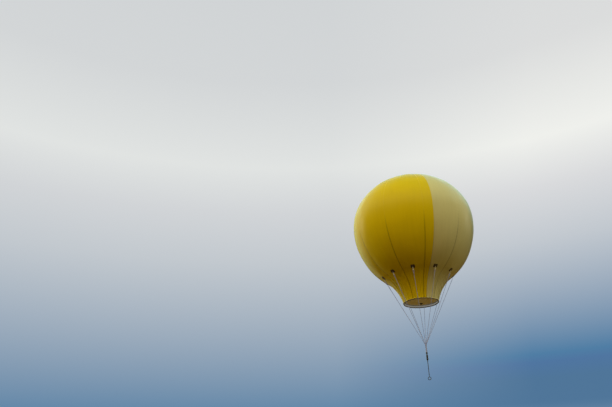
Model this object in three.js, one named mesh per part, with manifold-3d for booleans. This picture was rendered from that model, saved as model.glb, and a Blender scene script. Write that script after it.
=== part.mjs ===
// A tethered display balloon of hot air balloon shape: a gas-tight envelope of ten gores with a closed neck,
// held by ten bridle ropes, a swivel, a short tether and a steel ring. Millimetres, +Z up along the axis.
// The origin is the centre of the widest level. Azimuths are degrees from +X, counter-clockwise seen from above.
import * as THREE from 'three';
import { mergeVertices } from 'three/addons/utils/BufferGeometryUtils.js';
import Module from 'manifold-3d';

const wasm = await Module();
wasm.setup();

// Driving dimensions
const gap = 0.3;                    // between touching pieces
const envelopeRadius = 2500;        // at the widest level
const crownRise = 2166;             // widest level to the crown
const lowerArc = 2759;              // vertical half-axis of the ellipse below the widest level
const loadLevel = -2265;            // level of the load patches, where the outline bends
const hollowLean = [55.5, 14.7];    // the hollow arc's lean from the axis below the load level and at the neck
const neckRadius = 704;             // at the neck's top
const neckHeight = 25;
const neckLean = 4.6;               // from the axis
const shellThickness = 10;

const goreCount = 10;
const facetsPerGore = 4;
const firstSeam = -162;             // azimuth where the first gore starts
const crownOpening = 210;           // radius where the gores stop under the crown patch

const outlineRows = { crown: 9, body: 8, hollow: 5 };

const crownPatch = { radius: 290, flatRadius: 90, thickness: 8 };
const neckHem = { diameter: 34 };
const mouthDisc = { inset: 75, dome: 40, thickness: 10, rows: 4 };
const fillingValve = { azimuth: 78, reach: 300, capRadius: 44, flangeRadius: 70, flange: 10, height: 38 };

const loadPatch = { width: 170, height: 160, thickness: 6 };
const loadStrap = { width: 34, thickness: 7, length: 170 };
const bridleRope = { diameter: 14, sides: 8 };

const bundle = { top: -4990, ropeCircle: 27, radius: 36, crown: 10, waist: 27, taper: 70 };
const collector = { top: -5300, bottom: -5405, radius: 34, throat: 14, foot: 30 };
const barrel = { bottom: -5505, radius: 36, shoulder: 30, bore: 24, floor: 12, stemHole: 11 };
const stem = { shank: 9, head: 21, headHeight: 18, beadTop: -5512, bead: 38, neck: 22, bottom: -5618 };
const tetherLine = { diameter: 24, sides: 10 };
const tetherRing = { centre: -6282, outerRadius: 66, stock: 22, segments: 24 };

const finishes = {
  yellow: { color: 0xd9b310, roughness: 0.38, metalness: 0 },
  cream: { color: 0xe3dcb0, roughness: 0.38, metalness: 0 },
  darkFabric: { color: 0x2c2218, roughness: 0.7, metalness: 0 },
  webbing: { color: 0xd8cfae, roughness: 0.8, metalness: 0 },
  paleRope: { color: 0xd9cfc6, roughness: 0.85, metalness: 0 },
  darkRope: { color: 0x33302c, roughness: 0.85, metalness: 0 },
  blackMetal: { color: 0x26282a, roughness: 0.45, metalness: 0.6 },
  steel: { color: 0xa9adb0, roughness: 0.3, metalness: 1 },
  greyPlastic: { color: 0x4a4438, roughness: 0.5, metalness: 0 },
};

// The envelope's panels: one half yellow and the other half cream, which meet inside the third and eighth gores.
const panels = [
  // name, first and last facet counted from the first seam, finish
  ['gore_1_yellow', 0, 4, 'yellow'],
  ['gore_2_yellow', 4, 8, 'yellow'],
  ['gore_3_yellow_side', 8, 9, 'yellow'],
  ['gore_3_cream_side', 9, 12, 'cream'],
  ['gore_4_cream', 12, 16, 'cream'],
  ['gore_5_cream', 16, 20, 'cream'],
  ['gore_6_cream', 20, 24, 'cream'],
  ['gore_7_cream', 24, 28, 'cream'],
  ['gore_8_cream_side', 28, 29, 'cream'],
  ['gore_8_yellow_side', 29, 32, 'yellow'],
  ['gore_9_yellow', 32, 36, 'yellow'],
  ['gore_10_yellow', 36, 40, 'yellow'],
];

const radians = THREE.MathUtils.degToRad;
const facetCount = goreCount * facetsPerGore;
const facetAngle = 360 / facetCount;
const gorePitch = 360 / goreCount;
const balloon = new THREE.Group();

function addPiece(parent, name, geometry, finish) {
  const mesh = new THREE.Mesh(geometry, new THREE.MeshStandardMaterial(finishes[finish]));
  mesh.name = name;
  parent.add(mesh);
  return mesh;
}

// Closed solids

// The geometry's own closed mesh as a solid, without the flat triangles that a pole on the axis leaves.
function toSolid(geometry) {
  const bare = geometry.clone();
  bare.deleteAttribute('normal');
  bare.deleteAttribute('uv');
  const merged = mergeVertices(bare, 1e-3);
  const corners = merged.index.array;
  const kept = [];
  for (let i = 0; i < corners.length; i += 3) {
    const [a, b, c] = [corners[i], corners[i + 1], corners[i + 2]];
    if (a !== b && b !== c && c !== a) kept.push(a, b, c);
  }
  return new wasm.Manifold(new wasm.Mesh({
    numProp: 3,
    vertProperties: new Float32Array(merged.attributes.position.array),
    triVerts: new Uint32Array(kept),
  }));
}

function toGeometry(solid) {
  const mesh = solid.getMesh();
  const geometry = new THREE.BufferGeometry();
  geometry.setAttribute('position', new THREE.BufferAttribute(new Float32Array(mesh.vertProperties), 3));
  geometry.setIndex(new THREE.BufferAttribute(new Uint32Array(mesh.triVerts), 1));
  geometry.computeVertexNormals();
  return geometry;
}

// A profile of [radius, height] pairs turned about Z, with a corner at the azimuth given. The pairs run
// counter-clockwise with the axis at the left, and either start and end on the axis or close on themselves.
function turned(profile, segments, cornerAzimuth) {
  const points = profile.map(([r, z]) => new THREE.Vector2(r, z));
  if (profile[0][0] > 0) points.push(points[0].clone());
  const geometry = new THREE.LatheGeometry(points, segments);
  geometry.rotateX(Math.PI / 2);
  geometry.rotateZ(radians(cornerAzimuth + 90));
  return toSolid(geometry);
}

// The same with the radii measured to the middle of the flats, which lies at the azimuth given.
function turnedToFlats(profile, segments, flatAzimuth) {
  const half = Math.PI / segments;
  const widened = profile.map(([r, z]) => [r / Math.cos(half), z]);
  return turned(widened, segments, flatAzimuth + THREE.MathUtils.radToDeg(half));
}

// A tall wedge about the axis between two azimuths, each of its sides moved in by half a gap.
function wedge(fromAzimuth, toAzimuth) {
  const reach = 2 * envelopeRadius;
  const [from, to] = [radians(fromAzimuth), radians(toAzimuth)];
  const [middle, half] = [(from + to) / 2, (to - from) / 2];
  const side = gap / 2;
  const apex = side / Math.sin(half);
  const shape = new THREE.Shape([
    new THREE.Vector2(apex * Math.cos(middle), apex * Math.sin(middle)),
    new THREE.Vector2(reach * Math.cos(from) - side * Math.sin(from), reach * Math.sin(from) + side * Math.cos(from)),
    new THREE.Vector2(reach * Math.cos(to) + side * Math.sin(to), reach * Math.sin(to) - side * Math.cos(to)),
  ]);
  const geometry = new THREE.ExtrudeGeometry(shape, { depth: 2 * reach, bevelEnabled: false });
  geometry.translate(0, 0, -reach);
  return toSolid(geometry);
}

// A round bar between two [x, z] points of the plane through the axis.
function barBetween([x0, z0], [x1, z1], diameter, sides) {
  const bar = new THREE.CylinderGeometry(diameter / 2, diameter / 2, Math.hypot(x1 - x0, z1 - z0), sides);
  bar.rotateZ(-Math.atan2(x1 - x0, z1 - z0));
  bar.translate((x0 + x1) / 2, (z0 + z1) / 2, 0);
  bar.rotateX(Math.PI / 2);
  return toSolid(bar);
}

// The envelope's outline

// The outside from the crown opening to the neck's edge, as [radius, height] pairs: a quarter of an ellipse,
// a part of a taller one down to the load level, a hollow arc that eases into the neck, and the neck.
function envelopeOutline() {
  const points = [];
  const crownAngle = Math.acos(crownOpening / envelopeRadius);
  for (let i = 0; i < outlineRows.crown; i += 1) {
    const angle = crownAngle * (1 - i / outlineRows.crown);
    points.push([envelopeRadius * Math.cos(angle), crownRise * Math.sin(angle)]);
  }
  const loadAngle = Math.asin(-loadLevel / lowerArc);
  for (let i = 0; i <= outlineRows.body; i += 1) {
    const angle = loadAngle * i / outlineRows.body;
    points.push([envelopeRadius * Math.cos(angle), -lowerArc * Math.sin(angle)]);
  }
  const loadRadius = envelopeRadius * Math.cos(loadAngle);
  const [steep, easy] = hollowLean.map(radians);
  const hollowRadius = (loadRadius - neckRadius) / (Math.cos(easy) - Math.cos(steep));
  for (let i = 1; i <= outlineRows.hollow; i += 1) {
    const lean = steep + (easy - steep) * i / outlineRows.hollow;
    points.push([
      loadRadius - hollowRadius * (Math.cos(lean) - Math.cos(steep)),
      loadLevel - hollowRadius * (Math.sin(steep) - Math.sin(lean)),
    ]);
  }
  const neckTop = points[points.length - 1][1];
  points.push([neckRadius - neckHeight * Math.tan(radians(neckLean)), neckTop - neckHeight]);
  return points;
}

// The outline moved outwards by a distance, square to each stretch, with mitred corners.
function movedOut(points, distance) {
  const normals = points.slice(1).map(([r, z], i) => {
    const [dr, dz] = [r - points[i][0], z - points[i][1]];
    const length = Math.hypot(dr, dz);
    return [-dz / length, dr / length];
  });
  return points.map(([r, z], i) => {
    const before = normals[Math.max(i - 1, 0)];
    const after = normals[Math.min(i, normals.length - 1)];
    const spread = 1 + before[0] * after[0] + before[1] * after[1];
    return [r + distance * (before[0] + after[0]) / spread, z + distance * (before[1] + after[1]) / spread];
  });
}

// The closed profile of a skin between two distances from an outline.
function skin(points, inner, outer) {
  return [...movedOut(points, outer).reverse(), ...movedOut(points, inner)];
}

const outline = envelopeOutline();
const loadIndex = outlineRows.crown + outlineRows.body;
const [loadRadius] = outline[loadIndex];
const [edgeRadius, edgeLevel] = outline[outline.length - 1];

// Envelope

function addEnvelope() {
  const shell = turned(skin(outline, -shellThickness, 0), facetCount, firstSeam);
  for (const [name, first, last, finish] of panels) {
    const panel = shell.intersect(wedge(firstSeam + first * facetAngle, firstSeam + last * facetAngle));
    addPiece(balloon, name, toGeometry(panel), finish);
  }
}

// The crown patch lies on the tops of the gores and runs on in their slope to a flat middle.
function addCrownPatch() {
  const { radius, flatRadius, thickness } = crownPatch;
  const [[r0, z0], [r1, z1]] = outline;
  const slope = (z0 - z1) / (r1 - r0);
  const under = (r) => z0 + (r0 - r) * slope + gap;
  const profile = [
    [0, under(flatRadius)], [flatRadius, under(flatRadius)], [radius, under(radius)],
    [radius, under(radius) + thickness], [flatRadius, under(flatRadius) + thickness],
    [0, under(flatRadius) + thickness],
  ];
  addPiece(balloon, 'crown_patch', toGeometry(turned(profile, facetCount, firstSeam)), 'cream');
}

// Neck

function addNeckHem() {
  const radius = neckHem.diameter / 2;
  const [middle, level] = [edgeRadius - shellThickness / 2, edgeLevel - gap - radius];
  const profile = [];
  for (let i = 0; i < 8; i += 1) {
    const angle = radians(45 * i - 22.5);
    const corner = radius / Math.cos(radians(22.5));
    profile.push([middle + corner * Math.cos(angle), level + corner * Math.sin(angle)]);
  }
  addPiece(balloon, 'neck_hem', toGeometry(turned(profile, facetCount, firstSeam)), 'cream');
}

const discLevel = edgeLevel + mouthDisc.inset;

// Radius of the largest round piece that fits inside the neck at a level, with a gap all round.
function innerRadius(level) {
  const wall = movedOut(outline, -shellThickness - gap);
  const i = wall.findIndex(([, z]) => z < level);
  const [[r0, z0], [r1, z1]] = [wall[i - 1], wall[i]];
  return r0 + (r1 - r0) * (z0 - level) / (z0 - z1);
}

const discRadius = innerRadius(discLevel);

// Height of the disc's underside at a radius: a shallow bowl that hangs down in the middle.
function discUnderside(r) {
  return discLevel - mouthDisc.dome * (1 - (r / discRadius) ** 2);
}

// The disc's underside raised by some height, from the axis to the neck's wall.
function discProfile(rise) {
  const { rows } = mouthDisc;
  const radii = Array.from({ length: rows }, (_, i) => discRadius * i / rows);
  const middle = radii.map((r) => [r, discUnderside(r) + rise]);
  return [...middle, [innerRadius(discLevel + rise), discLevel + rise]];
}

function addMouthDisc() {
  const profile = [...discProfile(0), ...discProfile(mouthDisc.thickness).reverse()];
  addPiece(balloon, 'mouth_disc', toGeometry(turned(profile, facetCount, firstSeam)), 'cream');
}

function addFillingValve() {
  const { azimuth, reach, capRadius, flangeRadius, flange, height } = fillingValve;
  const level = discUnderside(reach);
  const step = level - flange;
  const profile = [
    [0, level - height], [capRadius - 6, level - height], [capRadius, level - height + 6], [capRadius, step],
    [flangeRadius, step], [flangeRadius, level + flange], [0, level + flange],
  ];
  const body = turned(profile, 24, 0).translate([
    reach * Math.cos(radians(azimuth)), reach * Math.sin(radians(azimuth)), 0,
  ]);
  const top = level + 2 * mouthDisc.dome;
  const above = turned([...discProfile(-gap), [discRadius, top], [0, top]], facetCount, firstSeam);
  addPiece(balloon, 'filling_valve', toGeometry(body.subtract(above)), 'greyPlastic');
}

// Load points and bridle

const patchSkin = [gap, gap + loadPatch.thickness];
const strapClearance = patchSkin[1] + gap;
const seat = [loadRadius + strapClearance, loadLevel];                // where a strap leaves its patch
const ropeRun = [bundle.ropeCircle - seat[0], bundle.top - seat[1]];
const ropeLength = Math.hypot(...ropeRun);
const along = ropeRun.map((step) => step / ropeLength);               // unit step down the rope, [x, z]
const onRope = (distance) => [seat[0] + along[0] * distance, seat[1] + along[1] * distance];

// The outline's stretch that a load patch covers, half its height to each side of the load level.
function patchOutline() {
  const middle = outline[loadIndex];
  const towards = (end) => {
    const share = loadPatch.height / 2 / Math.hypot(end[0] - middle[0], end[1] - middle[1]);
    return [middle[0] + (end[0] - middle[0]) * share, middle[1] + (end[1] - middle[1]) * share];
  };
  return [towards(outline[loadIndex - 1]), middle, towards(outline[loadIndex + 1])];
}

// All pieces of one load point, in the plane of the middle of its gore, which is the group's X-Z plane.
function addLoadPoints() {
  const halfWidth = THREE.MathUtils.radToDeg(Math.asin(loadPatch.width / 2 / loadRadius));
  const patch = turned(skin(patchOutline(), ...patchSkin), facetCount, 0).intersect(wedge(-halfWidth, halfWidth));

  const buried = 60;                                                  // strap length that the seat cuts away
  const box = new THREE.BoxGeometry(loadStrap.thickness, loadStrap.width, loadStrap.length + buried);
  box.translate(0, 0, (buried - loadStrap.length) / 2);
  box.rotateY(Math.atan2(-along[0], -along[1]));
  box.translate(seat[0], 0, seat[1]);
  const underStrap = [[0, edgeLevel], ...movedOut(outline, strapClearance).reverse(), [0, crownRise]];
  const strap = toSolid(box).subtract(turned(underStrap, facetCount, 0));

  const rope = barBetween(onRope(loadStrap.length + gap), onRope(ropeLength - gap), bridleRope.diameter,
    bridleRope.sides);

  for (let gore = 1; gore <= goreCount; gore += 1) {
    const station = new THREE.Group();
    station.rotation.z = radians(firstSeam + (gore - 0.5) * gorePitch);
    balloon.add(station);
    addPiece(station, `load_patch_${gore}`, toGeometry(patch), 'darkFabric');
    addPiece(station, `load_strap_${gore}`, toGeometry(strap), 'webbing');
    addPiece(station, `bridle_rope_${gore}`, toGeometry(rope), 'paleRope');
  }
}

// Gather, swivel and tether

// The ropes' lower ends, whipped side by side. The bundle's top is a ten-sided cone that meets each rope squarely.
function addRopeBundle() {
  const { top, ropeCircle, radius, crown, waist, taper } = bundle;
  const bottom = collector.top + gap;
  const slope = along[0] / along[1];
  const cone = (r) => top - (r - ropeCircle) * slope;
  const profile = [
    [0, bottom], [waist, bottom], [waist, cone(radius) - taper], [radius, cone(radius)], [crown, cone(crown)],
    [0, cone(crown)],
  ];
  const flatAzimuth = firstSeam + gorePitch / 2;
  addPiece(balloon, 'rope_bundle', toGeometry(turnedToFlats(profile, goreCount, flatAzimuth)), 'paleRope');
}

function addCollector() {
  const { top, bottom, radius, throat, foot } = collector;
  const profile = [
    [0, bottom], [foot, bottom], [foot, bottom + 8], [throat, bottom + 14], [throat, bottom + 26],
    [radius, bottom + 44], [radius, top - 16], [radius - 10, top], [0, top],
  ];
  addPiece(balloon, 'bridle_collector', toGeometry(turnedToFlats(profile, 24, 0)), 'blackMetal');
}

function addSwivel() {
  const barrelTop = collector.bottom - gap;
  const floorTop = barrel.bottom + barrel.floor;
  const barrelProfile = [
    [barrel.stemHole, barrel.bottom], [barrel.shoulder, barrel.bottom], [barrel.radius, barrel.bottom + 20],
    [barrel.radius, barrelTop - 24], [barrel.shoulder, barrelTop], [barrel.bore, barrelTop], [barrel.bore, floorTop],
    [barrel.stemHole, floorTop],
  ];
  addPiece(balloon, 'swivel_barrel', toGeometry(turnedToFlats(barrelProfile, 24, 0)), 'blackMetal');

  const headBottom = floorTop + gap;
  const beadBottom = stem.bottom + 18;
  const stemProfile = [
    [0, stem.bottom], [14, stem.bottom], [14, beadBottom - 6], [stem.neck, beadBottom],
    [stem.bead, beadBottom + 24], [stem.bead, stem.beadTop - 22], [stem.neck, stem.beadTop],
    [stem.shank, stem.beadTop], [stem.shank, headBottom], [stem.head, headBottom],
    [stem.head, headBottom + stem.headHeight], [0, headBottom + stem.headHeight],
  ];
  addPiece(balloon, 'swivel_stem', toGeometry(turnedToFlats(stemProfile, 24, 0)), 'blackMetal');
}

function addTether() {
  const { centre, outerRadius, stock, segments } = tetherRing;
  const line = barBetween([0, stem.bottom - gap], [0, centre + outerRadius + gap], tetherLine.diameter,
    tetherLine.sides);
  addPiece(balloon, 'tether_line', toGeometry(line), 'darkRope');

  const profile = [];
  for (let i = 0; i < 8; i += 1) {
    const angle = radians(45 * i - 22.5);
    const corner = stock / 2 / Math.cos(radians(22.5));
    profile.push([outerRadius - stock / 2 + corner * Math.cos(angle), corner * Math.sin(angle)]);
  }
  // The ring's own axis is turned from Z to lie along Y, with a flat at the top and at the bottom
  const ring = addPiece(balloon, 'tether_ring', toGeometry(turnedToFlats(profile, segments, 90)), 'steel');
  ring.rotation.x = Math.PI / 2;
  ring.position.z = centre;
}

addEnvelope();
addCrownPatch();
addNeckHem();
addMouthDisc();
addFillingValve();
addLoadPoints();
addRopeBundle();
addCollector();
addSwivel();
addTether();

export default balloon;
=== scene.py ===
import math

import bpy
import numpy as np
from mathutils import Matrix


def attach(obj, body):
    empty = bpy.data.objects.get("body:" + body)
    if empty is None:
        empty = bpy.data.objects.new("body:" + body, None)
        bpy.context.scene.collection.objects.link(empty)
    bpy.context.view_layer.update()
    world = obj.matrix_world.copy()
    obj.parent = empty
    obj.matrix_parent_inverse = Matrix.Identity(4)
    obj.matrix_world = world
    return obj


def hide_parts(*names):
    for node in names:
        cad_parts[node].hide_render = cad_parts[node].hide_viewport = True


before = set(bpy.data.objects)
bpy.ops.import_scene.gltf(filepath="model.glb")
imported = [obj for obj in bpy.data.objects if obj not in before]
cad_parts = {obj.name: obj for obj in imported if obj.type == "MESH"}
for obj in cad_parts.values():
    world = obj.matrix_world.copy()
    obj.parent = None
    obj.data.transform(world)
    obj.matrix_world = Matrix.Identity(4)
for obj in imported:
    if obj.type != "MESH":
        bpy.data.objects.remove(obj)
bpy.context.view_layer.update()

scene = bpy.context.scene
chance = np.random.default_rng(20)


# Camera

# It stands at floor level and looks up, as the photograph's camera did.
cameraSet = {
    "place": (-4.7637, -23.3967, -10.2138),
    "heading": 0.6540,    # degrees to the right of +Y
    "pitch": 26.0280,     # degrees above the horizon
    "roll": -1.6176,
    "lens": 35.385,       # mm, and so is the sensor's width
    "sensor": 36.0,
    "sight": 1000.0,      # how far it sees
}


def addCamera():
    lens = bpy.data.cameras.new("camera")
    lens.lens = cameraSet["lens"]
    lens.sensor_width = cameraSet["sensor"]
    lens.clip_end = cameraSet["sight"]
    camera = bpy.data.objects.new("camera", lens)
    scene.collection.objects.link(camera)
    turn = Matrix.Rotation(math.radians(-cameraSet["heading"]), 4, "Z")
    tilt = Matrix.Rotation(math.radians(90 + cameraSet["pitch"]), 4, "X")
    lean = Matrix.Rotation(math.radians(cameraSet["roll"]), 4, "Z")
    camera.matrix_world = Matrix.Translation(cameraSet["place"]) @ turn @ tilt @ lean
    scene.camera = camera


addCamera()
print("camera is in place")


# Shader tools

# A socket of a shader that takes part in Python sums; each sum adds a Math node.
class Value:
    def __init__(self, shader, socket):
        self.shader = shader
        self.socket = socket

    def outlet(self, name):
        return Value(self.shader, self.socket.node.outputs[name])

    def __add__(self, other):
        return self.shader.sum("ADD", self, other)

    def __mul__(self, other):
        return self.shader.sum("MULTIPLY", self, other)

    def __pow__(self, other):
        return self.shader.sum("POWER", self, other)

    __radd__ = __add__
    __rmul__ = __mul__


# The node tree of a material or of the world.
class Shader:
    def __init__(self, owner):
        owner.use_nodes = True
        self.owner = owner
        self.tree = owner.node_tree
        self.tree.nodes.clear()

    # One node: its type, its settings, which are set first, and the numbers or links of its sockets.
    def add(self, kind, settings=None, sockets=None, outlet=0):
        node = self.tree.nodes.new("ShaderNode" + kind)
        for name, setting in (settings or {}).items():
            if name == "stops":
                ramp = node.color_ramp
                while len(ramp.elements) < len(setting):
                    ramp.elements.new(1.0)
                for stop, (position, colour) in zip(ramp.elements, setting):
                    stop.position = position
                    stop.color = fourth(colour)
            else:
                setattr(node, name, setting)
        for name, value in (sockets or {}).items():
            if isinstance(value, Value):
                self.tree.links.new(value.socket, node.inputs[name])
            else:
                node.inputs[name].default_value = value
        return Value(self, node.outputs[outlet]) if len(node.outputs) else None

    def sum(self, operation, first, second=0.0):
        return self.add("Math", {"operation": operation}, {0: first, 1: second})

    def vectorSum(self, operation, sockets, outlet=0):
        return self.add("VectorMath", {"operation": operation}, sockets, outlet)

    def split(self, vector):
        first = self.add("SeparateXYZ", None, {0: vector}, "X")
        return first, first.outlet("Y"), first.outlet("Z")

    def joined(self, *three):
        return self.add("CombineXYZ", None, dict(enumerate(three)))

    def mixed(self, share, first, second):
        return self.add("Mix", {"data_type": "RGBA"}, {0: share, 6: first, 7: second}, 2)

    # The colour, darker or lighter by up to the variation.
    def toned(self, share, colour, variation):
        return self.mixed(share, fourth(colour, 1 - variation), fourth(colour, 1 + variation))

    def noise(self, place, scale, detail=2.0, roughness=0.5):
        sockets = {"Vector": place, "Scale": scale, "Detail": detail, "Roughness": roughness}
        return self.add("TexNoise", None, sockets)

    # A ridge wherever the value passes a whole number of pitches: half of one plus a cosine, to a power.
    def ridges(self, value, pitch, sharpness):
        return (self.sum("COSINE", value * (2 * math.pi / pitch)) * 0.5 + 0.5) ** sharpness

    # The value, from low to high, as a share from nought to one.
    def share(self, value, low, high):
        return self.add("MapRange", {"clamp": True}, {"Value": value, "From Min": low, "From Max": high})

    def bump(self, height, strength, distance, **more):
        return self.add("Bump", None, {"Strength": strength, "Distance": distance, "Height": height, **more})

    # The surface itself: what varies comes in as sockets, and the numbers that don't are set on the shader.
    def finish(self, colour, roughness, normal, metallic=0.0, specular=0.5, glow=None):
        sockets = {"Base Color": colour, "Roughness": roughness, "Normal": normal, "Metallic": metallic,
                   "Specular IOR Level": specular}
        # A glow is painted light, for the sky's light that passes through thin cloth or rope.
        if glow is not None:
            sockets["Emission Color"] = fourth(glow)
            sockets["Emission Strength"] = 1.0
        self.add("OutputMaterial", None, {"Surface": self.add("BsdfPrincipled", None, sockets)})
        return self.owner


def fourth(colour, factor=1.0):
    return (colour[0] * factor, colour[1] * factor, colour[2] * factor, 1.0)


# A material's shader, the place on the piece, and how far across and along the cloth it is.
def newMaterial(name):
    shader = Shader(bpy.data.materials.new(name))
    across, along, _ = shader.split(shader.add("UVMap", {"uv_map": "cloth"}))
    return shader, shader.add("TexCoord", outlet="Object"), across, along


# Materials

clothSet = {
    "specular": 0.11,
    "ripstop": 0.006,        # pitch of the reinforcing threads
    "threadRise": 0.00012,
    "cockle": 0.0035,        # rise of the slow unevenness of a tight skin
    # Painted shade: beside each seam the cloth darkens, for the shadow in the seam's valley, and seams and
    # tapes darken only low down, where the underside is in shade.
    "paintedSeamShadeReach": 0.045,      # how far from a seam the cloth looks darker
    "paintedSeamShadeShare": 0.5,        # how much of a darker colour it takes there, and that colour's factor
    "paintedSeamShadeFactor": 0.72,
    "paintedShadeLevels": (-0.25, -1.0),      # seams and tapes darken from the first height to the second
    "streaks": 15.0,         # upright tension streaks: how many to a radian of azimuth, and their rise
    "streakRise": 0.009,
    "streakLevels": (-1.75, -2.40),    # they grow from the first height to the second
}


# Coated cloth: a thread grid on the cloth's own metres, slow cockling, faint streaks down the cloth, and
# painted shade beside each seam for the shadow in its valley, only low down where the underside is in shade.
# Low down it can all be darker by a factor, which is painted shade too. A glow, where given, is painted
# light.
def clothMaterial(name, colour, gloss=0.20, variation=0.04, seams=False, paintedLowShade=None, glow=None):
    look = clothSet
    shader, place, across, along = newMaterial(name)
    x, y, height = shader.split(place)
    streak = shader.noise(shader.joined(across * 9.0, along * 0.7, 0.0), 1.0, 3.0)
    patches = shader.noise(place, 1.3, 3.0)
    paint = shader.toned(shader.share(streak * 0.5 + patches * 0.5, 0.3, 0.7), colour, variation)
    low = shader.share(height, *look["paintedShadeLevels"])
    slow = shader.noise(place, 2.6, 2.0)
    if seams:
        # Painted shade: the cloth beside a seam darkens, only low down.
        reach = shader.add("Attribute", {"attribute_name": "seamReach"}, None, "Fac")
        near = shader.share(reach, look["paintedSeamShadeReach"], 0.0) * low * look["paintedSeamShadeShare"]
        paint = shader.mixed(near, paint, fourth(colour, look["paintedSeamShadeFactor"]))
        beside = shader.joined(shader.sum("ARCTAN2", y, x) * look["streaks"], height * 0.45, 0.0)
        grown = 0.12 + shader.share(height, *look["streakLevels"])
        slow = slow + shader.noise(beside, 1.0, 2.0) * grown * (look["streakRise"] / look["cockle"] / 2)
    # Painted shade: low down the whole colour darkens by the factor.
    if paintedLowShade is not None:
        paint = shader.mixed(low, paint, fourth(colour, paintedLowShade))
    threads = shader.ridges(across, look["ripstop"], 10.0) + shader.ridges(along, look["ripstop"], 10.0)
    cockled = shader.bump(slow, 1.0, look["cockle"] * 2)
    normal = shader.bump(threads, 0.6, look["threadRise"], Normal=cockled)
    roughness = gloss + 0.10 * shader.noise(place, 7.0, 3.0)
    return shader.finish(paint, roughness, normal, specular=look["specular"], glow=glow)


# Woven tape or dense cloth: threads over and under in a herringbone on the cloth's own metres.
def wovenMaterial(name, colour, pitch=0.0022, rise=0.0005, roughness=0.75):
    shader, place, across, along = newMaterial(name)
    weave = shader.ridges(along + shader.sum("PINGPONG", across, pitch * 2.5), pitch, 1.5)
    fibres = shader.noise(place, 900.0, 2.0)
    paint = shader.toned(shader.share(weave * 0.6 + fibres * 0.4, 0.15, 0.85), colour, 0.15)
    worn = shader.share(shader.noise(place, 14.0, 3.0), 0.55, 0.8)
    paint = shader.mixed(worn * 0.35, paint, fourth(colour, 0.72))
    normal = shader.bump(weave + fibres * 0.3, 0.8, rise)
    return shader.finish(paint, roughness + 0.1 * fibres, normal, specular=0.3)


# Laid rope: fibres slanting across each strand, and dirt in slow patches. The faint glow of pale rope
# stands for the sky's light that passes through its fibres.
def ropeMaterial(name, colour, fibrePitch=0.0011, dirt=0.7, glow=None):
    shader, place, across, along = newMaterial(name)
    fibres = shader.ridges(across * 0.8 + along * 0.6, fibrePitch, 1.2)
    fluff = shader.noise(place, 700.0, 3.0)
    paint = shader.toned(shader.share(fibres * 0.5 + fluff * 0.5, 0.2, 0.8), colour, 0.14)
    soiled = shader.share(shader.noise(place, 5.0, 4.0), 0.5, 0.8)
    paint = shader.mixed(soiled * 0.4, paint, fourth(colour, dirt))
    normal = shader.bump(fibres + fluff * 0.5, 0.7, 0.0005)
    return shader.finish(paint, 0.75 + 0.15 * fluff, normal, specular=0.3, glow=glow)


# Metal: fine turning marks, wear that shows the metal under the finish, and a slow change of gloss.
def metalMaterial(name, colour, wornColour, roughness, metallic):
    shader, place, _, _ = newMaterial(name)
    height = shader.split(place)[2]
    marks = shader.noise(shader.joined(0.0, 0.0, height * 900.0), 1.0, 2.0)
    spots = shader.noise(place, 55.0, 5.0, 0.65)
    paint = shader.mixed(shader.share(spots, 0.62, 0.72) * 0.3, fourth(colour), fourth(wornColour))
    normal = shader.bump(marks + spots * 0.4, 0.35, 0.0003)
    return shader.finish(paint, roughness + 0.2 * shader.noise(place, 20.0, 3.0), normal, metallic)


# Moulded plastic: a fine grain and a faint mottle.
def plasticMaterial(name, colour):
    shader, place, _, _ = newMaterial(name)
    mottle = shader.share(shader.noise(place, 30.0, 3.0), 0.3, 0.7)
    normal = shader.bump(shader.noise(place, 1400.0, 2.0), 0.4, 0.0002)
    return shader.finish(shader.toned(mottle, colour, 0.15), 0.42 + 0.12 * mottle, normal)


yellow = (0.80, 0.60, 0.004)
cream = (0.74, 0.68, 0.38)
# Painted light for pale rope: the sky's light through its fibres.
paintedRopeGlow = (0.025, 0.05, 0.11)

materials = {
    "yellow": clothMaterial("yellow_cloth", yellow, seams=True),
    "cream": clothMaterial("cream_cloth", cream, seams=True),
    # The tapes darken low down: painted shade.
    "yellowTape": clothMaterial("yellow_tape", yellow, gloss=0.28, paintedLowShade=0.60),
    "creamTape": clothMaterial("cream_tape", cream, gloss=0.28, paintedLowShade=0.72),
    "disc": clothMaterial("disc_cloth", (0.84, 0.78, 0.56), gloss=0.45, variation=0.07),
    # The lining's glow is painted light: the sky's light through the thin cloth.
    "lining": clothMaterial("lining_cloth", (0.80, 0.80, 0.76), gloss=0.5, glow=(0.12, 0.13, 0.13)),
    # The hem's dark colour is painted shade: the dark line at the rim is the roll's shaded underside.
    "hem": clothMaterial("hem_cloth", (0.16, 0.14, 0.11), gloss=0.5),
    "patch": wovenMaterial("patch_cloth", (0.10, 0.072, 0.050), pitch=0.0016, rise=0.0003, roughness=0.62),
    "webbing": wovenMaterial("webbing", (0.82, 0.77, 0.60)),
    # The pale rope's and pale thread's glows are painted light: the sky's light through their fibres.
    "rope": ropeMaterial("pale_rope", (0.36, 0.33, 0.38), glow=paintedRopeGlow),
    "darkRope": ropeMaterial("dark_rope", (0.060, 0.055, 0.050), dirt=1.8),
    "paleThread": ropeMaterial("pale_thread", (0.38, 0.35, 0.39), 0.0006, glow=(0.025, 0.05, 0.10)),
    "darkThread": ropeMaterial("dark_thread", (0.10, 0.08, 0.06), 0.0006),
    "blackMetal": metalMaterial("black_metal", (0.035, 0.036, 0.040), (0.30, 0.30, 0.31), 0.34, 0.7),
    "steel": metalMaterial("dark_steel", (0.09, 0.09, 0.095), (0.36, 0.36, 0.37), 0.26, 1.0),
    "plastic": plasticMaterial("valve_plastic", (0.11, 0.10, 0.085)),
}
print("materials are made")


# Mesh tools

upright = np.array([0.0, 0.0, 1.0])
rightward = np.array([1.0, 0.0, 0.0])


def unit(vectors):
    return vectors / np.linalg.norm(vectors, axis=-1, keepdims=True)


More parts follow.
